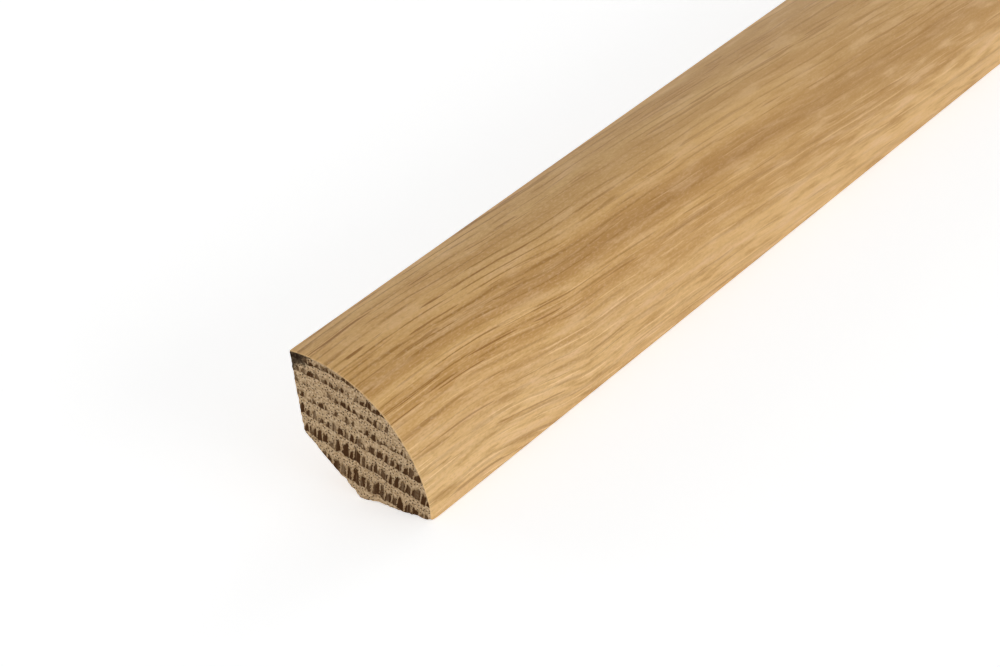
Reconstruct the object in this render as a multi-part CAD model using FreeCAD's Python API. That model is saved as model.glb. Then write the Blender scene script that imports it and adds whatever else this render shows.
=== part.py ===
"""Quarter round moulding: one planed length of oak with a round face, two flat faces and a relieved back corner.

Millimetres. +X runs along the length, +Y points at the wall and +Z is up, as the moulding lies when it is fitted:
the foot is flat on Z = 0, the back stands upright against the wall and the round face looks out into the room.
The origin is at mid-length, on the plane of the foot, under the middle of the section's width.
"""

import FreeCAD
import Part

import math
import os

# Driving dimensions
LENGTH = 1000.0  # sold length, sawn square at both ends
LEG = 19.0  # height of the back and width of the foot, to the corner that the relief takes off
RELIEF = 7.5  # leg of the 45 degree relief, which keeps the moulding clear of dirt or filler in the corner
TIP_FLAT = 0.55  # flat that the round face runs out into at each tip
TIP_EASE = 0.25  # radius of the sanded tips, where the round face meets the back and the foot
RELIEF_EASE = 0.4  # radius of the sanded edges on the two sides of the relief

# The round face is tangent to both tip flats, so its centre lies off the corner by one tip
TIP = TIP_FLAT + TIP_EASE
ROUND_RADIUS = LEG - TIP

SAME_PLACE = 1e-6  # two points closer than this are one point


def section_point(out, up):
    """A point of the section at mid-length, from its distance out from the wall and up from the floor."""
    return FreeCAD.Vector(0, LEG / 2 - out, up)


# Corners of the section before they are eased
BACK_TIP = section_point(0, LEG)
BACK_RELIEF = section_point(0, RELIEF)
FOOT_RELIEF = section_point(RELIEF, 0)
FOOT_TIP = section_point(LEG, 0)


def round_face_arc():
    """The quarter circle from the foot's tip flat up to the back's tip flat."""
    at_45_degrees = TIP + ROUND_RADIUS * math.cos(math.radians(45))
    return Part.Arc(
        section_point(LEG, TIP),
        section_point(at_45_degrees, at_45_degrees),
        section_point(TIP, LEG),
    )


def section():
    """The section as a face at mid-length, with sharp corners."""
    arc = round_face_arc()
    outline = [
        Part.LineSegment(BACK_TIP, BACK_RELIEF),
        Part.LineSegment(BACK_RELIEF, FOOT_RELIEF),
        Part.LineSegment(FOOT_RELIEF, FOOT_TIP),
        Part.LineSegment(FOOT_TIP, arc.StartPoint),
        arc,
        Part.LineSegment(arc.EndPoint, BACK_TIP),
    ]
    return Part.Face(Part.Wire([curve.toShape() for curve in outline]))


def eased(solid, radius, corners):
    """The solid with the long edges through these corners of the section rounded off."""

    def runs_through_a_corner(edge):
        return any(edge.CenterOfMass.isEqual(corner, SAME_PLACE) for corner in corners)

    return solid.makeFillet(radius, [edge for edge in solid.Edges if runs_through_a_corner(edge)])


def quarter_round():
    """The section planed along the whole length, then sanded along its four arrises."""
    planed = section()
    planed.translate(FreeCAD.Vector(-LENGTH / 2, 0, 0))
    stock = planed.extrude(FreeCAD.Vector(LENGTH, 0, 0))
    stock = eased(stock, TIP_EASE, [BACK_TIP, FOOT_TIP])
    return eased(stock, RELIEF_EASE, [BACK_RELIEF, FOOT_RELIEF])


os.makedirs("parts", exist_ok=True)
quarter_round().exportStep("parts/quarter_round.step")
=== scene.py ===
import math
import random
from collections import namedtuple

import bpy
from mathutils import Matrix, Vector


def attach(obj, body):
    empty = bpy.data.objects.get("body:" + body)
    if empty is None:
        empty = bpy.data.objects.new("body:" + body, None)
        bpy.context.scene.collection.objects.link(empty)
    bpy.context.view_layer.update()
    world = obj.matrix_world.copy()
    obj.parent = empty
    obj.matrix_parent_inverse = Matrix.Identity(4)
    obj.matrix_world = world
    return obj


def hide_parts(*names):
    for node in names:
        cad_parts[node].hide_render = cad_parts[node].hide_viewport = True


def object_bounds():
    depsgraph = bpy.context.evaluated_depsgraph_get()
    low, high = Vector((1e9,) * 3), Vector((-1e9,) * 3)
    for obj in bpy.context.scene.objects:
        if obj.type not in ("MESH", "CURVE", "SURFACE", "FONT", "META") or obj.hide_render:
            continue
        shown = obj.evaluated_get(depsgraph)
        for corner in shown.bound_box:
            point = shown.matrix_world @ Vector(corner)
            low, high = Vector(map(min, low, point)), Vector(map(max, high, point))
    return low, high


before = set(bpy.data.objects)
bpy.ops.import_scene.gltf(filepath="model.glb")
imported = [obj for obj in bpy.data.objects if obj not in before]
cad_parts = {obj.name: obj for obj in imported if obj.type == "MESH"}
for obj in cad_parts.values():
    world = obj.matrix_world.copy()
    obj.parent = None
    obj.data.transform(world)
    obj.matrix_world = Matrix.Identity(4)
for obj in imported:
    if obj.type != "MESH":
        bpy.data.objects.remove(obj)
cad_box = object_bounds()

# Lengths are in millimetres, and are turned to metres where Blender takes them
# Along is from the sawn end in front, out is from the wall and up is from the floor
MM = 0.001

# The stick is as long, and its legs are as wide and high, as the solid's box
LENGTH = round((cad_box[1][0] - cad_box[0][0]) / MM, 2)
LEG = round((cad_box[1][2] - cad_box[0][2]) / MM, 2)

# The rest of the section, with the sizes of the solid
RELIEF = 7.5  # leg of the relief at the back corner
RELIEF_TURN = math.radians(45)  # turn of the outline at each edge of the relief
RELIEF_EASE = 0.4  # radius of those edges
EASE_SETBACK = RELIEF_EASE * math.tan(RELIEF_TURN / 2)
TIP_FLAT = 0.55  # flat that the round face runs out into at each tip
TIP_EASE = 0.25  # radius of the tips
TIP = TIP_FLAT + TIP_EASE
ROUND_RADIUS = LEG - TIP

# Fineness of the mesh
OUTLINE_STEP = 0.17  # between points of the outline
ARC_STEP = 20.0  # degrees between points of a small arc, at most
END_DEPTHS = (0.0, 0.12, 0.25, 0.45, 0.7, 1.0, 1.4, 2.0, 3.0)  # of the loops behind each sawn end
BODY_STEP = 25.0  # between the other loops
CAP_RINGS = 26  # from the rim of a sawn end to its middle
SHARP_ANGLE = math.radians(40)  # edges that turn by more are shaded sharp


def spaced(start, end, step):
    """Numbers from start towards end, at about that step, without the end."""
    count = max(1, round(abs(end - start) / step))
    return [start + (end - start) * i / count for i in range(count)]


def straight(start, end):
    """Outline points on a straight run, without the last."""
    length = math.dist(start, end)
    return [
        (start[0] + (end[0] - start[0]) * t / length, start[1] + (end[1] - start[1]) * t / length)
        for t in spaced(0.0, length, OUTLINE_STEP)
    ]


def curved(out, up, radius, start, end):
    """Outline points on an arc about that centre, between two angles in degrees, without the last."""
    step = min(ARC_STEP, math.degrees(OUTLINE_STEP / radius))
    angles = [math.radians(angle) for angle in spaced(start, end, step)]
    return [(out + radius * math.cos(angle), up + radius * math.sin(angle)) for angle in angles]


def raw_outline():
    """The back from its top, the relief and the foot to its tip, as distances out from the wall and up."""
    edge = RELIEF + EASE_SETBACK
    bend = RELIEF_EASE * (1 - math.cos(RELIEF_TURN))
    down = RELIEF_EASE * math.sin(RELIEF_TURN)
    points = straight((0.0, LEG - TIP_EASE), (0.0, edge))
    points += curved(RELIEF_EASE, edge, RELIEF_EASE, 180, 225)
    points += straight((bend, edge - down), (edge - down, bend))
    points += curved(edge, RELIEF_EASE, RELIEF_EASE, 225, 270)
    points += straight((edge, 0.0), (LEG - TIP_EASE, 0.0))
    return points


def finished_outline():
    """The tip of the foot, the round face and the tip of the back."""
    points = curved(LEG - TIP_EASE, TIP_EASE, TIP_EASE, -90, 0)
    points += straight((LEG, TIP_EASE), (LEG, TIP))
    points += curved(TIP, TIP, ROUND_RADIUS, 0, 90)
    points += straight((TIP, LEG), (TIP_EASE, LEG))
    points += curved(TIP_EASE, LEG - TIP_EASE, TIP_EASE, 90, 180)
    return points


def place(along, point):
    """A point in metres, from its distance along the stick and its place in the section, out and up."""
    out, up = point
    return (along - LENGTH / 2) * MM, (LEG / 2 - out) * MM, up * MM


class Tear(namedtuple("Tear", "out up radius inward along")):
    """A torn place on the rim of a sawn end: its middle, its reach, and its depth inwards and along."""

    def share(self, point):
        """1 at the middle of the tear, and 0 from its radius on."""
        return max(0.0, 1 - math.dist(point, (self.out, self.up)) / self.radius)


# Torn places on the sawn end in front: at the relief, along the foot and at the tip of the foot
NEAR_TEARS = (
    Tear(out=6.8, up=0.8, radius=1.3, inward=0.0, along=0.14),
    Tear(out=5.6, up=2.1, radius=0.7, inward=0.25, along=0.1),
    Tear(out=10.9, up=0.0, radius=2.4, inward=0.16, along=0.1),
    Tear(out=16.6, up=0.0, radius=0.8, inward=0.12, along=0.1),
    Tear(out=LEG, up=0.5, radius=1.2, inward=0.24, along=0.16),
)

# Rims of the sawn ends
RAGGED_DEPTH = 0.14  # of what is broken off along the raw faces, at most
RAGGED_STEP = 0.4  # between its high and low places
RAGGED_REACH = 1.2  # how far along the stick it dies out
RIM_EASE = 0.12  # ease of the rim of the round face
NEAR_SEED = 5
FAR_SEED = 8


def ragged_edge(count, seed):
    """A smooth random height from 0 to 1 for each point of the outline."""
    draw = random.Random(seed)
    every = max(1, round(RAGGED_STEP / OUTLINE_STEP))
    knots = [draw.random() ** 2 for _ in range(count // every + 1)]
    heights = []
    for i in range(count):
        knot, part = divmod(i / every, 1)
        ease = part * part * (3 - 2 * part)
        here = knots[int(knot)]
        following = knots[(int(knot) + 1) % len(knots)]
        heights.append(here + (following - here) * ease)
    return heights


class End:
    """One sawn end: where it is, which way the stick runs from it, and how its rim is broken."""

    def __init__(self, outline, raw_count, start, inwards, seed, tears):
        self.outline = outline
        self.raw_count = raw_count
        self.start = start
        self.inwards = inwards
        self.tears = tears
        heights = ragged_edge(len(outline), seed)
        self.bites = [
            height * RAGGED_DEPTH if i < raw_count else RIM_EASE for i, height in enumerate(heights)
        ]

    def along(self, depth):
        """Distance along the stick of that depth behind the end."""
        return self.start + self.inwards * depth

    def torn_in(self, point):
        """How far the rim is torn inwards at that point."""
        return max((tear.inward * tear.share(point) for tear in self.tears), default=0.0)

    def torn_along(self, point):
        """How far the end is torn along the stick at that point."""
        return max((tear.along * tear.share(point) ** 2 for tear in self.tears), default=0.0)

    def inward(self, i):
        """The unit step into the wood, square to the outline at its point i."""
        before = self.outline[i - 1]
        after = self.outline[(i + 1) % len(self.outline)]
        run = math.dist(before, after)
        return (before[1] - after[1]) / run, (after[0] - before[0]) / run

    def loop(self, depth):
        """The outline at that depth behind the end, less what is broken off its rim."""
        ragged = max(0.0, 1 - depth / RAGGED_REACH) ** 2
        eased = max(0.0, 1 - depth / RIM_EASE)
        points = []
        for i, point in enumerate(self.outline):
            rim = ragged if i < self.raw_count else eased
            bite = self.bites[i] * rim + self.torn_in(point) * ragged
            inward = self.inward(i)
            points.append((point[0] + inward[0] * bite, point[1] + inward[1] * bite))
        return points

    def places(self, points, depth):
        """Those points at that depth behind the end, in metres, pushed in where the end is torn."""
        fade = max(0.0, 1 - depth / RAGGED_REACH)
        return [place(self.along(depth + self.torn_along(point) * fade), point) for point in points]


# The materials of the faces, by their order on the stick
FINISHED, RAW, SAWN = range(3)

# Map for baking, in parts of the image
MAP_GAP = 0.005  # between areas
MAP_FULL = 1 - MAP_GAP
MAP_END = 0.285  # side of a sawn end, and height of the grain in front, which lie in the lowest row
MAP_STRIP = 0.255  # height of each of the two strips above them, for the rest of the round face
MAP_ROW = MAP_END + MAP_GAP
MAP_RAW = MAP_ROW + 2 * (MAP_STRIP + MAP_GAP)  # where the strip of the raw faces begins

# Stretches of the round face on the map
FRONT_LENGTH = 50.0
STRIP_LENGTH = (LENGTH - FRONT_LENGTH) / 2
MIDDLE = FRONT_LENGTH + STRIP_LENGTH


class MapArea(namedtuple("MapArea", "left low width height start length")):
    """An area of the bake map, with the stretch of the stick that it shows."""

    def spot(self, share, along):
        """Place on the map of a point that far round, from 0 to 1, and that distance along."""
        part = (along - self.start) / self.length
        return self.left + part * self.width, self.low + share * self.height


FRONT_AREA = MapArea(
    left=2 * MAP_ROW, low=0.0, width=MAP_FULL - 2 * MAP_ROW, height=MAP_END, start=0.0, length=FRONT_LENGTH
)
NEAR_STRIP = MapArea(
    left=0.0, low=MAP_ROW, width=MAP_FULL, height=MAP_STRIP, start=FRONT_LENGTH, length=STRIP_LENGTH
)
FAR_STRIP = NEAR_STRIP._replace(low=MAP_ROW + MAP_STRIP + MAP_GAP, start=MIDDLE)
RAW_STRIP = MapArea(
    left=0.0, low=MAP_RAW, width=MAP_FULL, height=MAP_FULL - MAP_RAW, start=0.0, length=LENGTH
)


def map_area(material, along):
    """The area of the bake map for a long face of that material at that distance along."""
    if material == RAW:
        return RAW_STRIP
    if along < FRONT_LENGTH:
        return FRONT_AREA
    return NEAR_STRIP if along < MIDDLE else FAR_STRIP


class MeshMaker:
    """Collects vertices, faces, their materials and their places on the bake map."""

    def __init__(self):
        self.vertices = []
        self.faces = []
        self.materials = []
        self.map = []

    def add_vertices(self, places):
        """Adds vertices and returns the number of the first."""
        start = len(self.vertices)
        self.vertices += places
        return start

    def add_face(self, corners, spots, material):
        """Adds a face by the numbers of its vertices, with their places on the bake map."""
        self.faces.append(corners)
        self.map += spots
        self.materials.append(material)


def body_stations():
    """Distances along of the loops between those of the two ends."""
    depth = END_DEPTHS[-1]
    stations = spaced(depth, FRONT_LENGTH, BODY_STEP)[1:]
    stations += spaced(FRONT_LENGTH, MIDDLE, BODY_STEP)
    stations += spaced(MIDDLE, LENGTH - depth, BODY_STEP)
    return stations


def add_loops(maker, outline, near, far):
    """Adds the loops along the stick, and returns the distance along and the first vertex of each."""
    loops = [(near.along(depth), near.places(near.loop(depth), depth)) for depth in END_DEPTHS]
    loops += [(along, [place(along, point) for point in outline]) for along in body_stations()]
    loops += [(far.along(depth), far.places(far.loop(depth), depth)) for depth in reversed(END_DEPTHS)]
    return [(along, maker.add_vertices(places)) for along, places in loops]


def outline_shares(points):
    """How far round the run each point lies, from 0 to 1."""
    lengths = [0.0]
    for here, following in zip(points, points[1:]):
        lengths.append(lengths[-1] + math.dist(here, following))
    return [length / lengths[-1] for length in lengths]


def panels(raw, finished):
    """For each stretch of the outline, its material and where it begins and ends in that material's run."""
    stretches = []
    for material, points in ((RAW, raw + finished[:1]), (FINISHED, finished + raw[:1])):
        shares = outline_shares(points)
        stretches += [(material, begin, end) for begin, end in zip(shares, shares[1:])]
    return stretches


def add_long_faces(maker, loops, stretches):
    """Adds the faces between the loops."""
    for (along, here), (further, there) in zip(loops, loops[1:]):
        for i, (material, begin, end) in enumerate(stretches):
            k = (i + 1) % len(stretches)
            area = map_area(material, (along + further) / 2)
            spots = [
                area.spot(begin, along),
                area.spot(begin, further),
                area.spot(end, further),
                area.spot(end, along),
            ]
            maker.add_face((here + i, there + i, there + k, here + k), spots, material)


def add_cap(maker, end, rim_start, map_left):
    """Closes an end with rings that run in from its rim to a middle point."""
    rim = end.loop(0.0)
    middle = tuple(sum(numbers) / len(rim) for numbers in zip(*rim))

    def add_face(*corners):
        """Adds a face that looks outwards, from pairs of a vertex's number and its point in the section."""
        facing = corners[:: end.inwards]
        spots = [(map_left + out / LEG * MAP_END, up / LEG * MAP_END) for _, (out, up) in facing]
        maker.add_face(tuple(number for number, _ in facing), spots, SAWN)

    rings = [list(enumerate(rim, rim_start))]
    for ring in range(1, CAP_RINGS):
        share = 1 - ring / CAP_RINGS
        points = [tuple(m + (p - m) * share for p, m in zip(point, middle)) for point in rim]
        rings.append(list(enumerate(points, maker.add_vertices(end.places(points, 0.0)))))
    for outer, inner in zip(rings, rings[1:]):
        for i in range(len(rim)):
            k = (i + 1) % len(rim)
            add_face(outer[i], outer[k], inner[k], inner[i])
    centre = (maker.add_vertices([place(end.start, middle)]), middle)
    for i in range(len(rim)):
        add_face(rings[-1][i], rings[-1][(i + 1) % len(rim)], centre)


def quarter_round_mesh():
    """The whole stick as one closed mesh."""
    raw = raw_outline()
    finished = finished_outline()
    outline = raw + finished
    near = End(outline, len(raw), start=0.0, inwards=1, seed=NEAR_SEED, tears=NEAR_TEARS)
    far = End(outline, len(raw), start=LENGTH, inwards=-1, seed=FAR_SEED, tears=())
    maker = MeshMaker()
    loops = add_loops(maker, outline, near, far)
    add_long_faces(maker, loops, panels(raw, finished))
    add_cap(maker, near, loops[0][1], map_left=0.0)
    add_cap(maker, far, loops[-1][1], map_left=MAP_ROW)
    return maker


def quarter_round(materials):
    """The stick as a Blender object."""
    maker = quarter_round_mesh()
    mesh = bpy.data.meshes.new("oak_quarter_round")
    mesh.from_pydata(maker.vertices, [], maker.faces)
    for material in materials:
        mesh.materials.append(material)
    mesh.polygons.foreach_set("material_index", maker.materials)
    mesh.polygons.foreach_set("use_smooth", [True] * len(maker.faces))
    layer = mesh.uv_layers.new(name="OFBake")
    layer.data.foreach_set("uv", [number for spot in maker.map for number in spot])
    mesh.set_sharp_from_angle(angle=SHARP_ANGLE)
    mesh.validate()
    piece = bpy.data.objects.new("oak_quarter_round", mesh)
    bpy.context.collection.objects.link(piece)
    return piece


class Field:
    """A number that varies over a surface: a node's output, with arithmetic that adds nodes."""

    def __init__(self, tree, socket):
        self.tree = tree
        self.socket = socket

    def maths(self, operation, *values):
        """The result of a Math node on these values."""
        node = self.tree.nodes.new("ShaderNodeMath")
        node.operation = operation
        for value, socket in zip(values, node.inputs):
            plug(self.tree, value, socket)
        return Field(self.tree, node.outputs[0])

    def __add__(self, other):
        return self.maths("ADD", self, other)

    def __sub__(self, other):
        return self.maths("SUBTRACT", self, other)

    def __rsub__(self, other):
        return self.maths("SUBTRACT", other, self)

    def __mul__(self, other):
        return self.maths("MULTIPLY", self, other)

    def __truediv__(self, other):
        return self.maths("DIVIDE", self, other)

    def floor(self):
        return self.maths("FLOOR", self)

    def absolute(self):
        return self.maths("ABSOLUTE", self)

    def largest(self, other):
        return self.maths("MAXIMUM", self, other)

    def sine(self):
        return self.maths("SINE", self)

    def cosine(self):
        return self.maths("COSINE", self)

    def centred(self):
        """A noise about 0, where this is one about 0.5."""
        return self - 0.5

    def ramp(self, start, end, first=0.0, last=1.0):
        """A smooth change from the first value to the last as this goes from start to end."""
        node = self.tree.nodes.new("ShaderNodeMapRange")
        node.interpolation_type = "SMOOTHSTEP"
        plug(self.tree, self, node.inputs["Value"])
        plug(self.tree, start, node.inputs["From Min"])
        plug(self.tree, end, node.inputs["From Max"])
        plug(self.tree, first, node.inputs["To Min"])
        plug(self.tree, last, node.inputs["To Max"])
        return Field(self.tree, node.outputs["Result"])

    def fade(self, start, end):
        """1 up to start, and 0 from end on."""
        return self.ramp(start, end, first=1.0, last=0.0)

    def band(self, middle, inner, outer):
        """1 within the inner distance from the middle, and 0 from the outer distance on."""
        return (self - middle).absolute().fade(inner, outer)


def plug(tree, value, socket):
    """Sets an input to a number, a colour or a field."""
    if isinstance(value, Field):
        tree.links.new(value.socket, socket)
    else:
        socket.default_value = value


def point_node(tree, x, y, z):
    """A vector from three fields or numbers."""
    node = tree.nodes.new("ShaderNodeCombineXYZ")
    for value, socket in zip((x, y, z), node.inputs):
        plug(tree, value, socket)
    return Field(tree, node.outputs[0])


def noise(tree, x, y, z, detail=1.0):
    """Smooth noise about 0.5, with one bump to each unit of x, y and z."""
    node = tree.nodes.new("ShaderNodeTexNoise")
    plug(tree, point_node(tree, x, y, z), node.inputs["Vector"])
    node.inputs["Scale"].default_value = 1.0
    node.inputs["Detail"].default_value = detail
    return Field(tree, node.outputs[0])


def cells(tree, x, y):
    """Scattered points, about one to each unit square: distance to the nearest, and its random number."""
    node = tree.nodes.new("ShaderNodeTexVoronoi")
    node.voronoi_dimensions = "2D"
    plug(tree, point_node(tree, x, y, 0.0), node.inputs["Vector"])
    node.inputs["Scale"].default_value = 1.0
    split = tree.nodes.new("ShaderNodeSeparateColor")
    tree.links.new(node.outputs["Color"], split.inputs[0])
    return Field(tree, node.outputs["Distance"]), Field(tree, split.outputs[0])


def linear(colour):
    """A colour in 0 to 255 as it looks on a screen, turned to Blender's linear colour by the sRGB curve."""
    parts = [c / 255 for c in colour]
    return tuple(p / 12.92 if p <= 0.04045 else ((p + 0.055) / 1.055) ** 2.4 for p in parts) + (1.0,)


# Sockets of the Mix node for colours, whose names are shared with those for numbers and vectors
MIX_SHARE = 0
MIX_FIRST = 6
MIX_SECOND = 7
MIX_RESULT = 2


def mixed(tree, share, first, second):
    """A colour between two others, which are colours or fields."""
    node = tree.nodes.new("ShaderNodeMix")
    node.data_type = "RGBA"
    plug(tree, share, node.inputs[MIX_SHARE])
    plug(tree, first, node.inputs[MIX_FIRST])
    plug(tree, second, node.inputs[MIX_SECOND])
    return Field(tree, node.outputs[MIX_RESULT])


# Growth rings in the section: rows that fall away from the wall, wider towards the foot
RING_SLOPE = math.radians(16.3)
RING_OFFSET = -0.939  # count of rings at the corner of the wall and the floor
RING_RATE = 0.1956  # rings to the millimetre there
RING_CHANGE = 0.01032  # rings to the square millimetre
RING_UNEVEN = 0.5  # how much the rows waver, in rings
RING_START = 0.06  # share of a ring in which its dark start sets in

# The rows bend down towards the tip of the back
DIP = 0.65
DIP_OUT = 7.0  # how far out from the wall it reaches
DIP_START = 13.0  # height where it begins
DIP_FULL = 18.0  # height where it is full

# Behind the sawn end in front the grain drops across the round face, more and sooner towards the foot
DROP = 2.6
DROP_MORE = 1.1
DROP_START = 8.0
DROP_FULL = 42.0
DROP_SOONER = 8.0

# Further along it slopes
SLOPE = 5.0
SLOPE_START = 30.0
SLOPE_FULL = 150.0

# Further still it wanders to and fro
WANDER = 8.0
WANDER_LENGTH = 170.0
WANDER_START = 80.0
WANDER_FULL = 250.0
WANDER_PLACE = (3.1, 7.7)  # where the noise is cut

# It ripples all along, least at the sawn end in front
RIPPLE_IN_FRONT = 0.2
RIPPLE = 0.7
RIPPLE_FULL = 15.0
RIPPLE_LENGTH = 15.0
RIPPLE_WIDTH = 3.0

# Dark teeth stand on the start of each ring and lean away from the middle of the section
TOOTH = 1.0  # spacing along a row
TOOTH_JITTER = 1.3  # unevenness of the spacing, in teeth
TOOTH_SWAY = 0.45
TOOTH_LEAN = 0.5  # at the wall
TOOTH_LEAN_CHANGE = 0.9  # from the wall to the tip of the foot
TALL_END = 9.5  # teeth are tall up to this place through the rings
SHORT_START = 13.0  # and shorter from this one on

# The teeth are weak in one belt of rings, and strong again at the outermost ones
WEAK_MIDDLE = 13.5
WEAK_INNER = 0.5
WEAK_OUTER = 4.5
STRONG_START = 17.0
STRONG_FULL = 18.2

# Spacing of the pores on the sawn ends
PORE_SPACING = 0.45

# Lines along the grain: how wide and long they swell
SWELL_WIDTH = 0.6
SWELL_LENGTH = 8.0

# Spacing of the lines, and how far each kind is shifted so that they don't coincide
FINE_SPACING = 0.4
FINE_SHIFT = 3.0
COARSE_SPACING = 0.62
COARSE_SHIFT = 5.0
# Painted glints: thin pale lines along the pores
GLINT_SPACING = 0.3
GLINT_SHIFT = 9.0
GLINT_DENSITY = 0.4

# A darker streak of the wood, by its place along the rows
STREAK_MIDDLE = 5.95
STREAK_REACH = 2.6

# Grit of the sanded and sawn surfaces
GRIT_WIDTH = 0.2
GRIT_LENGTH = 0.6


def stick_place(tree):
    """Where a point lies on the stick: along from the sawn end in front, out from the wall and up."""
    where = tree.nodes.new("ShaderNodeTexCoord")
    split = tree.nodes.new("ShaderNodeSeparateXYZ")
    tree.links.new(where.outputs["Object"], split.inputs[0])
    x, y, z = (Field(tree, socket) * (1 / MM) for socket in split.outputs)
    return x + LENGTH / 2, LEG / 2 - y, z


class OakGrain:
    """The oak as one solid pattern, the same inside and out."""

    def __init__(self, tree):
        self.tree = tree
        self.along, self.out, self.up = stick_place(tree)
        self.lower = (self.out - self.up) / LEG  # from -1 at the tip of the back to 1 at that of the foot
        self.across, self.radial = self.ring_place(*self.turned_place())
        ring = self.ring()
        self.year = ring.floor()
        self.phase = ring - self.year
        self.speckle = self.bumps(width=0.3, depth=0.3, length=20.0, detail=2.0)
        self.ray = self.bumps(width=0.2, depth=7.0, length=16.0, detail=0.0).ramp(0.6, 0.75)
        self.vigour = self.yearly(width=0.9, length=14.0, rate=3.7, start=9.0)
        self.strength = self.mark_strength()
        self.wave = self.tooth_wave()

    def turned_place(self):
        """Where the grain of a point lies in the section at the sawn end in front, out and up."""
        drop = self.along.ramp(DROP_START, DROP_FULL - self.lower * DROP_SOONER)
        drop = drop * (self.lower * DROP_MORE + DROP)
        slope = self.along.ramp(SLOPE_START, SLOPE_FULL, last=SLOPE)
        wander = noise(self.tree, self.along / WANDER_LENGTH, *WANDER_PLACE).centred()
        wander = wander * self.along.ramp(WANDER_START, WANDER_FULL, last=WANDER)
        ripple = noise(
            self.tree,
            self.along / RIPPLE_LENGTH,
            self.out / RIPPLE_WIDTH,
            self.up / RIPPLE_WIDTH,
            detail=2.0,
        )
        ripple = ripple.centred() * self.along.ramp(0.0, RIPPLE_FULL, first=RIPPLE_IN_FRONT, last=RIPPLE)
        turn = (drop + slope + wander + ripple) / ROUND_RADIUS
        out = self.out - TIP
        up = self.up - TIP
        turned_out = out * turn.cosine() - up * turn.sine() + TIP
        turned_up = out * turn.sine() + up * turn.cosine() + TIP
        return turned_out, turned_up

    def ring_place(self, out, up):
        """A place in the section as distances along the rows of rings and through them."""
        dip = out.ramp(0.0, DIP_OUT, first=DIP, last=0.0) * up.ramp(DIP_START, DIP_FULL)
        across = out * math.cos(RING_SLOPE) - up * math.sin(RING_SLOPE)
        radial = out * math.sin(RING_SLOPE) + up * math.cos(RING_SLOPE) + dip
        return across, radial

    def ring(self):
        """Count of rings at a point, with the share of the ring that it lies in as the fraction."""
        uneven = self.bumps(width=1.3, depth=5.0, length=60.0, detail=3.0).centred() * RING_UNEVEN
        return self.radial * RING_RATE + self.radial * self.radial * RING_CHANGE + RING_OFFSET + uneven

    def bumps(self, width, depth, length, detail=1.0):
        """Noise whose bumps have that width along the rows, depth through the rings and length along."""
        return noise(self.tree, self.across / width, self.radial / depth, self.along / length, detail)

    def yearly(self, width, length, rate, start):
        """Noise that is new in each ring; the rate and the start make it differ from others."""
        return noise(self.tree, self.across / width, self.year * rate + start, self.along / length)

    def mark_strength(self):
        """How strong the dark teeth are, from 0 to 1."""
        patch = self.bumps(width=3.5, depth=2.6, length=60.0)
        belt = (self.radial - WEAK_MIDDLE).absolute().ramp(WEAK_INNER, WEAK_OUTER, first=-0.03, last=0.09)
        outermost = self.radial.ramp(STRONG_START, STRONG_FULL, last=0.09)
        return (patch * 0.5 + self.vigour * 0.5 + belt + outermost).ramp(0.33, 0.54)

    def tooth_wave(self):
        """A wave along the rows, from -1 between two teeth to 1 in the middle of one."""
        jitter = self.yearly(width=1.5, length=30.0, rate=5.3, start=0.0) * TOOTH_JITTER
        lean = self.phase * (TOOTH_LEAN - self.out * (TOOTH_LEAN_CHANGE / LEG))
        sway = self.bumps(width=0.8, depth=0.6, length=20.0).centred() * TOOTH_SWAY
        teeth = (self.across + lean + sway) / TOOTH + jitter
        return (teeth * (2 * math.pi)).cosine()

    def mark(self):
        """The dark teeth, in rows of uneven height."""
        tooth = self.wave.ramp(-1.0, -0.25)
        clump = self.yearly(width=1.8, length=30.0, rate=4.1, start=2.0).ramp(0.5, 0.65)
        tall = self.radial.ramp(TALL_END, SHORT_START, first=1.0, last=0.7)
        height = tooth * (self.vigour * 0.8 + 0.1) + clump * 0.2 + 0.08
        height = self.strength * tall * height + self.speckle.centred() * 0.35
        depth = self.yearly(width=1.6, length=30.0, rate=2.1, start=4.0).ramp(0.3, 0.52, first=0.6)
        shape = (height - self.phase).ramp(0.0, 0.14) * self.phase.ramp(0.0, RING_START)
        return shape * self.strength * depth * (1.0 - self.ray * 0.3)

    def haze(self):
        """A soft brown about the teeth."""
        height = self.strength * (self.vigour * 0.8 + 0.25)
        return (height - self.phase).ramp(0.0, 0.3) * self.phase.ramp(0.0, RING_START)

    def pore(self):
        """Small round pores, more of them in the later part of each ring."""
        gap, chance = cells(self.tree, self.across / PORE_SPACING, self.radial / PORE_SPACING)
        share = self.phase.ramp(0.45, 0.7) * 0.35 + 0.4
        return gap.fade(0.15, 0.25) * (share - chance).ramp(0.0, 0.1)

    def thread(self):
        """Broken dark threads where the teeth reach a long face."""
        broken = self.bumps(width=0.9, depth=0.8, length=8.0).ramp(0.36, 0.58)
        return self.wave.ramp(0.58, 1.0) * broken * self.phase.ramp(0.6, 0.9, first=1.0, last=0.3)

    def lines(self, shift, spacing, density):
        """Thin lines along the grain that swell and die away, with that share of them there."""
        across = self.across + shift
        gap, chance = cells(self.tree, across / spacing, self.radial / spacing)
        swell = noise(self.tree, across / SWELL_WIDTH, self.radial / SWELL_WIDTH, self.along / SWELL_LENGTH)
        width = swell.ramp(0.36, 0.68) * 0.38
        return (width - gap).ramp(0.0, 0.1) * (density - chance).ramp(0.0, 0.1)

    def vessel(self):
        """Open pores cut lengthwise: coarse towards the tip of the back and fine below."""
        early = self.phase.ramp(0.2, 0.5, first=1.0, last=0.45)
        density = early * self.lower.ramp(-0.5, 0.8, first=1.0, last=0.5)
        fine = self.lines(FINE_SHIFT, FINE_SPACING, density)
        coarse = self.lines(COARSE_SHIFT, COARSE_SPACING, density)
        return fine + (coarse - fine) * self.lower.fade(-0.5, -0.1)

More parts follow.
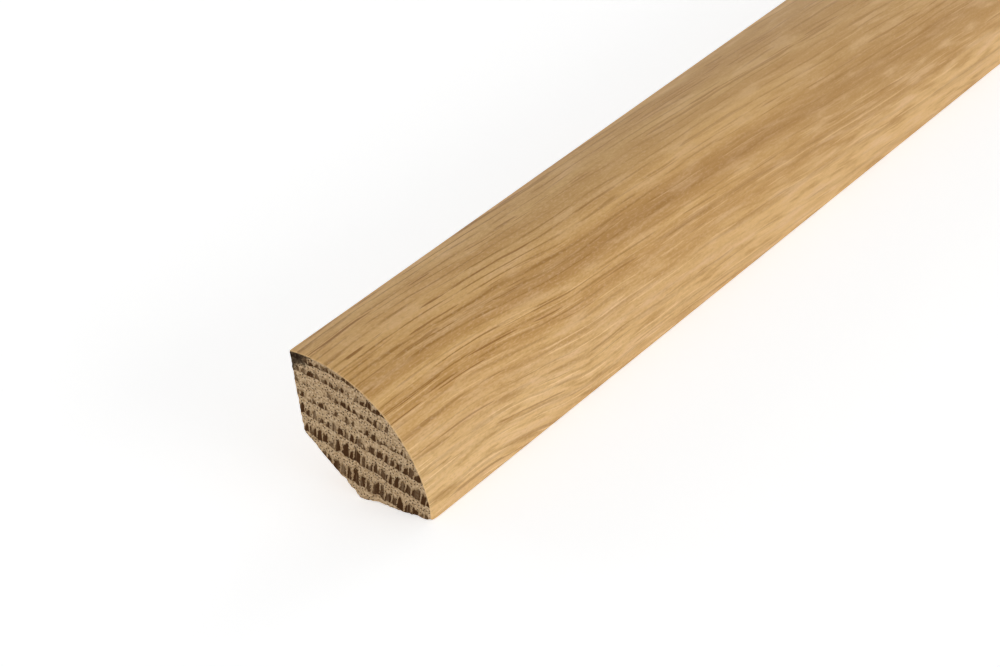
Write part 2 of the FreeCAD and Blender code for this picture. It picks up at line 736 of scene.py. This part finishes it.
    def grit(self):
        """Fine unevenness of a worked surface."""
        return noise(self.tree, self.out / GRIT_WIDTH, self.up / GRIT_WIDTH, self.along / GRIT_LENGTH)

    def outputs(self):
        """The fields that the materials use, by name."""
        return {
            "Mark": self.mark(),
            "Haze": self.haze(),
            "Pore": self.pore(),
            "Thread": self.thread(),
            "Vessel": self.vessel(),
            # Painted glints along the pores
            "Glint": self.lines(GLINT_SHIFT, GLINT_SPACING, GLINT_DENSITY),
            "Ray": self.ray,
            "Tone": self.bumps(width=2.6, depth=1.4, length=60.0, detail=2.0),
            "Mottle": self.bumps(width=1.1, depth=0.7, length=7.0, detail=2.0),
            "Streak": self.across.band(STREAK_MIDDLE, 0.0, STREAK_REACH),
            "Line": self.bumps(width=0.22, depth=0.22, length=4.0, detail=3.0),
            "Grit": self.grit(),
            "Speckle": self.speckle,
            "Lower": self.lower,
            "Out": self.out,
            "Up": self.up,
            "Along": self.along,
        }


def oak_grain():
    """The grain as a node group that the three materials share."""
    tree = bpy.data.node_groups.new("oak grain", "ShaderNodeTree")
    outputs = OakGrain(tree).outputs()
    result = tree.nodes.new("NodeGroupOutput")
    for name, field in outputs.items():
        tree.interface.new_socket(name, in_out="OUTPUT", socket_type="NodeSocketFloat")
        tree.links.new(field.socket, result.inputs[name])
    return tree


class Wood:
    """A wood material: the fields of the grain by name, and a colour that is built up in layers."""

    def __init__(self, name, grain):
        self.material = bpy.data.materials.new(name)
        self.material.use_nodes = True
        self.tree = self.material.node_tree
        group = self.tree.nodes.new("ShaderNodeGroup")
        group.node_tree = grain
        self.fields = {socket.name: Field(self.tree, socket) for socket in group.outputs}
        self.colour = None

    def __getitem__(self, name):
        return self.fields[name]

    def base(self, share, first, second):
        """Starts with a colour between two others."""
        self.colour = mixed(self.tree, share, linear(first), linear(second))

    def layer(self, share, colour):
        """Covers what is there with a colour, to that share."""
        self.colour = mixed(self.tree, share, self.colour, linear(colour))

    def vary(self, noise_field, low, high, share, dark, pale):
        """Covers with a dark colour where a noise nears high, and with a pale one where it nears low."""
        self.layer(noise_field.ramp(0.5, high) * share, dark)
        self.layer(noise_field.ramp(0.5, low) * share, pale)

    def finish(self, roughness, specular, hollow, depth):
        """The material with its sheen, sunk by that depth where the hollow field is 1."""
        shader = self.tree.nodes["Principled BSDF"]
        plug(self.tree, self.colour, shader.inputs["Base Color"])
        shader.inputs["Roughness"].default_value = roughness
        shader.inputs["Specular IOR Level"].default_value = specular
        bump = self.tree.nodes.new("ShaderNodeBump")
        bump.inputs["Strength"].default_value = 1.0
        bump.inputs["Distance"].default_value = depth * MM
        plug(self.tree, hollow * -1.0, bump.inputs["Height"])
        self.tree.links.new(bump.outputs[0], shader.inputs["Normal"])
        return self.material


# Colours of the round face
SATIN_DARK = (194, 148, 83)
SATIN_PALE = (214, 171, 107)
SATIN_STREAK = (168, 122, 60)
SATIN_BAND = (176, 130, 68)
# Painted shade on the upper part of the round face
SATIN_PAINTED_SHADE = (176, 140, 84)
SATIN_DULL = (180, 139, 80)
# Painted light on the lower part of the round face
SATIN_PAINTED_LIGHT = (230, 191, 131)
SATIN_MOTTLE_DARK = (174, 127, 54)
SATIN_MOTTLE_PALE = (224, 185, 138)
SATIN_LINE_DARK = (158, 111, 42)
SATIN_LINE_PALE = (228, 190, 148)
SATIN_MARK = (152, 106, 42)
# Painted glints along the pores
SATIN_PAINTED_GLINT = (244, 208, 154)
SATIN_THREAD = (154, 108, 38)
SATIN_GRIT_DARK = (160, 116, 48)
SATIN_GRIT_PALE = (232, 196, 156)
SATIN_VESSEL = (138, 89, 12)
# Pale rim: partly a sanded arris, partly a painted highlight
SATIN_RIM = (236, 204, 156)

# Stretches along the stick in which the looks of the round face change
EVEN_STRETCH = (15.0, 35.0)
TONE_STRETCH = (15.0, 45.0)
BAND_STRETCH = (25.0, 50.0)
FOOT_STRETCH = (25.0, 60.0)
DULL_STRETCH = (65.0, 110.0)
CLEAR_STRETCH = (200.0, 400.0)
LINE_STRETCH = (20.0, 70.0)
GLINT_STRETCH = (30.0, 70.0)
GRIT_STRETCH = (30.0, 90.0)
VESSEL_STRETCH = (12.0, 60.0)

# Middles of the bands on the round face, from -1 at the tip of the back to 1 at the tip of the foot
BAND_MIDDLE = 0.38
PAINTED_SHADE_MIDDLE = -0.65
DULL_MIDDLE = 0.1

# The rim of the round face pales from the first distance from the end to the second: a sanded arris, partly
# a painted highlight on its eased edge
RIM_START = 0.16
RIM_FULL = 0.06


def satin_tones(wood):
    """The broad tones of the round face, which change along the stick, with painted light and shade."""
    along = wood["Along"]
    lower = wood["Lower"]
    # Just behind the sawn end in front, the upper part is even in tone
    even = lower.ramp(-0.5, 0.0, first=0.6, last=0.0) * along.fade(*EVEN_STRETCH)
    tone = wood["Tone"].centred() * (1.0 - even) + 0.5
    wood.base(tone.ramp(0.3, 0.7), SATIN_DARK, SATIN_PALE)
    # A streak of the wood and a band at one place round the face grow darker along the stick
    wood.layer(wood["Streak"] * along.ramp(*TONE_STRETCH, first=0.4, last=0.8), SATIN_STREAK)
    wood.layer(lower.band(BAND_MIDDLE, 0.08, 0.3) * along.ramp(*BAND_STRETCH, last=0.25), SATIN_BAND)
    # Painted shade: the upper part of the face, towards the tip of the back, is darkened and greyed away
    # from the end
    wood.layer(lower.band(PAINTED_SHADE_MIDDLE, 0.1, 0.4) * along.ramp(*TONE_STRETCH, last=0.3), SATIN_PAINTED_SHADE)
    # A dull stretch follows
    dull = along.ramp(*DULL_STRETCH, last=0.65) * along.fade(*CLEAR_STRETCH)
    wood.layer(lower.band(DULL_MIDDLE, 0.3, 0.75) * dull, SATIN_DULL)
    # Painted light: above the foot, where the face turns to the light, it is painted paler, but less so at
    # its tip
    painted_light_above_foot = lower.ramp(along.ramp(*FOOT_STRETCH, first=0.25, last=0.5), 0.85)
    painted_light_above_foot = painted_light_above_foot * lower.ramp(0.86, 0.98, first=1.0, last=0.7)
    wood.layer(painted_light_above_foot * along.ramp(*TONE_STRETCH, first=0.9, last=0.55), SATIN_PAINTED_LIGHT)


def satin_lines(wood):
    """The fine grain of the round face, with painted glints, which is clearest behind the sawn end in
    front.
    """
    along = wood["Along"]
    lower = wood["Lower"]
    mottled = lower.ramp(0.2, 0.7, first=0.32, last=0.55)
    wood.vary(wood["Mottle"], 0.3, 0.7, mottled, SATIN_MOTTLE_DARK, SATIN_MOTTLE_PALE)
    fibres = lower.ramp(-0.5, -0.1, first=0.1, last=0.25) * along.ramp(*LINE_STRETCH, first=1.0, last=0.6)
    wood.vary(wood["Line"], 0.3, 0.72, fibres, SATIN_LINE_DARK, SATIN_LINE_PALE)
    wood.layer(wood["Mark"] * 0.2, SATIN_MARK)
    # Painted glints: thin pale lines along the pores of the round face
    glints = lower.ramp(0.1, 0.8) * along.ramp(*GLINT_STRETCH, first=0.35, last=0.1) + fibres * 1.4
    wood.layer(wood["Glint"] * glints, SATIN_PAINTED_GLINT)
    threads = along.ramp(*LINE_STRETCH, first=0.95, last=0.5) * lower.ramp(0.0, 0.6, first=1.0, last=0.45)
    wood.layer(wood["Thread"] * threads, SATIN_THREAD)
    gritty = along.ramp(*GRIT_STRETCH, first=0.22, last=0.1)
    wood.vary(wood["Grit"], 0.25, 0.75, gritty, SATIN_GRIT_DARK, SATIN_GRIT_PALE)
    vessels = along.ramp(*VESSEL_STRETCH, first=0.85, last=0.42)
    vessels = vessels * lower.ramp(0.1, 0.55, first=1.0, last=0.6)
    wood.layer(wood["Vessel"] * vessels, SATIN_VESSEL)


def satin_oak(grain):
    """The round face: sanded and given a clear satin finish."""
    wood = Wood("satin oak", grain)
    satin_tones(wood)
    satin_lines(wood)
    from_middle = (wood["Along"] - LENGTH / 2).absolute()
    rim = from_middle.ramp(LENGTH / 2 - RIM_START, LENGTH / 2 - RIM_FULL)
    # Pale rim: partly a sanded arris, partly a painted highlight
    wood.layer(rim * 0.25, SATIN_RIM)
    return wood.finish(roughness=0.42, specular=0.4, hollow=wood["Vessel"], depth=0.008)


# Colours of the back, the relief and the foot
PLANED_DARK = (190, 156, 110)
PLANED_PALE = (208, 176, 132)
PLANED_LINE_DARK = (160, 122, 80)
PLANED_LINE_PALE = (222, 194, 154)
PLANED_MARK = (156, 118, 76)
PLANED_THREAD = (140, 102, 58)
PLANED_GRIT_DARK = (166, 130, 88)
PLANED_GRIT_PALE = (226, 200, 162)
PLANED_VESSEL = (124, 92, 58)


def planed_oak(grain):
    """The back, the relief and the foot: planed and left raw."""
    wood = Wood("planed oak", grain)
    wood.base(wood["Tone"].ramp(0.3, 0.7), PLANED_DARK, PLANED_PALE)
    wood.vary(wood["Line"], 0.3, 0.72, 0.25, PLANED_LINE_DARK, PLANED_LINE_PALE)
    wood.layer(wood["Mark"] * 0.2, PLANED_MARK)
    wood.layer(wood["Thread"] * 0.4, PLANED_THREAD)
    wood.vary(wood["Grit"], 0.25, 0.75, 0.3, PLANED_GRIT_DARK, PLANED_GRIT_PALE)
    wood.layer(wood["Vessel"] * 0.5, PLANED_VESSEL)
    return wood.finish(roughness=0.75, specular=0.3, hollow=wood["Vessel"], depth=0.04)


# Colours of the sawn ends
SAWN_DARK = (162, 131, 93)
SAWN_PALE = (215, 188, 152)
SAWN_RAY = (204, 184, 156)
SAWN_HAZE = (112, 80, 48)
SAWN_PORE = (48, 34, 22)
SAWN_MARK = (72, 46, 24)
SAWN_STAIN = (34, 24, 15)

# Black stain on the tip of the back at the sawn end in front: how far it reaches out and down
STAIN_OUT = 4.6
STAIN_DOWN = 3.4


def stain(wood):
    """Where the stain is, with an uneven edge, on the sawn end in front only."""
    reach = wood["Out"] / STAIN_OUT + (LEG - wood["Up"]) / STAIN_DOWN
    reach = reach + wood["Tone"].centred() * 1.2 + wood["Speckle"].centred() * 0.9
    in_front = wood["Along"].fade(LENGTH * 0.4, LENGTH * 0.6)
    return reach.ramp(0.7, 1.1, first=0.88, last=0.0) * in_front


def sawn_oak(grain):
    """The two ends: sawn across the grain and left raw."""
    wood = Wood("sawn oak", grain)
    wood.base(wood["Speckle"].ramp(0.3, 0.7), SAWN_DARK, SAWN_PALE)
    wood.layer(wood["Ray"] * 0.25, SAWN_RAY)
    wood.layer(wood["Haze"] * 0.3, SAWN_HAZE)
    wood.layer(wood["Pore"], SAWN_PORE)
    wood.layer(wood["Mark"], SAWN_MARK)
    wood.layer(stain(wood), SAWN_STAIN)
    return wood.finish(roughness=0.9, specular=0.06, hollow=wood["Pore"], depth=0.05)


# The studio: a white floor and even light from all round
WHITE = (1.0, 1.0, 1.0, 1.0)
FLOOR_SIZE = 12000.0
FLOOR_COLOUR = (0.85, 0.85, 0.85, 1.0)
FLOOR_GLOW = 0.46  # what the camera sees on top of the light that falls on the floor
SKY_LOW = 0.54  # strength of the light from the horizon
SKY_TOP = 0.35  # and from straight above

# Distant lamps: where each shines from, and the share of its own colour that a surface facing it shows
Sun = namedtuple("Sun", "name direction share")
SUNS = (
    Sun("front light", (0.1, -0.98, 0.06), 0.62),
    Sun("end light", (-0.95, -0.15, 0.25), 0.3),
    Sun("back light", (0.1, 0.98, 0.1), 0.3),
    Sun("far light", (0.98, 0.1, 0.1), 0.3),
)
SUN_WIDTH = math.radians(50)


def seen_rays(tree):
    """1 for what the camera sees, straight, mirrored or through, and 0 for the light on the stick."""
    path = tree.nodes.new("ShaderNodeLightPath")
    camera_rays = Field(tree, path.outputs["Is Camera Ray"])
    mirrored_rays = Field(tree, path.outputs["Is Glossy Ray"])
    through_rays = Field(tree, path.outputs["Is Transmission Ray"])
    return camera_rays.largest(mirrored_rays).largest(through_rays)


def white_floor():
    """The floor's material, which looks as white as the studio and keeps the stick's shadow."""
    material = bpy.data.materials.new("white floor")
    material.use_nodes = True
    tree = material.node_tree
    shader = tree.nodes["Principled BSDF"]
    shader.inputs["Base Color"].default_value = FLOOR_COLOUR
    shader.inputs["Roughness"].default_value = 0.9
    shader.inputs["Emission Color"].default_value = WHITE
    plug(tree, seen_rays(tree) * FLOOR_GLOW, shader.inputs["Emission Strength"])
    return material


def floor():
    """The floor that the stick lies on."""
    half = FLOOR_SIZE / 2 * MM
    corners = [(-half, -half, 0.0), (half, -half, 0.0), (half, half, 0.0), (-half, half, 0.0)]
    mesh = bpy.data.meshes.new("floor")
    mesh.from_pydata(corners, [], [(0, 1, 2, 3)])
    mesh.materials.append(white_floor())
    plane = bpy.data.objects.new("floor", mesh)
    bpy.context.collection.objects.link(plane)
    return plane


def sky():
    """White all round, with less light from straight above."""
    world = bpy.data.worlds.new("studio")
    world.use_nodes = True
    tree = world.node_tree
    background = tree.nodes["Background"]
    background.inputs["Color"].default_value = WHITE
    where = tree.nodes.new("ShaderNodeTexCoord")
    split = tree.nodes.new("ShaderNodeSeparateXYZ")
    tree.links.new(where.outputs["Generated"], split.inputs[0])
    light = Field(tree, split.outputs["Z"]).ramp(0.0, 1.0, first=SKY_LOW, last=SKY_TOP)
    plug(tree, light.largest(seen_rays(tree)), background.inputs["Strength"])
    return world


def add_sun(sun):
    """A wide, soft lamp far away."""
    data = bpy.data.lights.new(sun.name, "SUN")
    data.energy = sun.share * math.pi
    data.angle = SUN_WIDTH
    lamp = bpy.data.objects.new(sun.name, data)
    lamp.rotation_euler = Vector(sun.direction).to_track_quat("Z", "Y").to_euler()
    bpy.context.collection.objects.link(lamp)


def studio_light():
    """Even light from all round, with more from the front and some on the other sides."""
    bpy.context.scene.world = sky()
    for sun in SUNS:
        add_sun(sun)


# The camera of the photograph, aimed at a point behind the sawn end in front
AIM_ALONG = 26.778
AIM_OUT = 9.94
AIM_UP = 9.475
CAMERA_DISTANCE = 352.706
CAMERA_AZIMUTH = math.radians(-47.976)
CAMERA_ELEVATION = math.radians(29.478)
CAMERA_ROLL = math.radians(-8.428)
CAMERA_LENS = 101.135
CAMERA_SENSOR = 36.0
CAMERA_NEAREST = 10.0


def camera():
    """The camera, at its distance from the point that it is aimed at."""
    data = bpy.data.cameras.new("camera")
    data.lens = CAMERA_LENS
    data.sensor_width = CAMERA_SENSOR
    data.sensor_fit = "HORIZONTAL"
    data.clip_start = CAMERA_NEAREST * MM
    eye = bpy.data.objects.new("camera", data)
    turn = (
        Matrix.Rotation(CAMERA_AZIMUTH, 4, "Z")
        @ Matrix.Rotation(math.pi / 2 - CAMERA_ELEVATION, 4, "X")
        @ Matrix.Rotation(CAMERA_ROLL, 4, "Z")
    )
    aim = Vector(place(AIM_ALONG, (AIM_OUT, AIM_UP)))
    back = turn.to_3x3() @ Vector((0.0, 0.0, CAMERA_DISTANCE * MM))
    eye.matrix_world = Matrix.Translation(aim + back) @ turn
    bpy.context.collection.objects.link(eye)
    bpy.context.scene.camera = eye


grain = oak_grain()
piece = quarter_round([satin_oak(grain), planed_oak(grain), sawn_oak(grain)])
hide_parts("quarter_round")
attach(piece, "root")
floor()
studio_light()
camera()
bpy.context.scene.view_settings.view_transform = "Standard"
